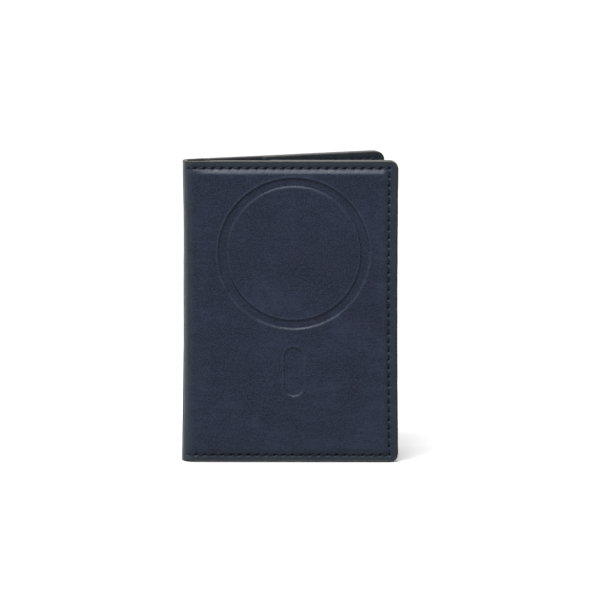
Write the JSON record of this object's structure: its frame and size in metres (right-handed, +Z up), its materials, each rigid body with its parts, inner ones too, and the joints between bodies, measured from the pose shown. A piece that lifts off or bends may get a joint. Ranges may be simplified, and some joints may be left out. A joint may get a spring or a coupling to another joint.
{
  "type": "card holder",
  "caption": "Bifold leather card holder with stitched padded covers, inner slip pockets, and a magnet ring and upright bar magnet pressed into the front cover.",
  "frame": {"origin": "middle of the front cover's lower edge, half way through the cover's stitched thickness", "axes": "+Z up along the cover's height, -Y out of the front cover's outer face, +X from the spine to the front cover's free edge"},
  "size_m": [0.0798, 0.0374, 0.1114],
  "materials": {
    "navy_leather": "waxed, mottled, satin",
    "pocket_leather": "smooth, matt",
    "dark_lining": "fine twill",
    "pocket_filler": "smooth, matt",
    "cover_board": "pressed fibre, matt",
    "navy_thread": "waxed polyester thread",
    "magnet_nickel": "nickel plated",
    "backing_steel": "rolled strip"
  },
  "bodies": {
    "front_cover": {"front_outer_leather": "navy_leather", "front_board": "cover_board", "front_lining": "dark_lining", "front_note_pocket_filler": "pocket_filler", "front_note_pocket": "pocket_leather", "front_card_pocket_filler": "pocket_filler", "front_card_pocket": "pocket_leather", "front_stitching": "navy_thread", "magnet_ring": "magnet_nickel", "steel_backing_ring": "backing_steel", "bar_magnet": "magnet_nickel"},
    "spine": {"spine_outer_leather": "navy_leather", "spine_lining": "dark_lining"},
    "back_cover": {"back_outer_leather": "navy_leather", "back_board": "cover_board", "back_lining": "dark_lining", "back_note_pocket_filler": "pocket_filler", "back_note_pocket": "pocket_leather", "back_card_pocket_filler": "pocket_filler", "back_card_pocket": "pocket_leather", "back_stitching": "navy_thread"}
  },
  "joints": [
    {"name": "front_fold", "type": "hinge", "parent": "front_cover", "child": "spine", "pos_m": [-0.03817, -0.00087, 0], "axis": [0, 0, 1], "range_deg": [-10, 80]},
    {"name": "back_fold", "type": "hinge", "parent": "spine", "child": "back_cover", "pos_m": [-0.03945, 0.00636, 0], "axis": [0, 0, 1], "range_deg": [-10, 80]}
  ],
  "couplings": [
    {"joint": "back_fold", "follows": "front_fold", "ratio": 1}
  ]
}
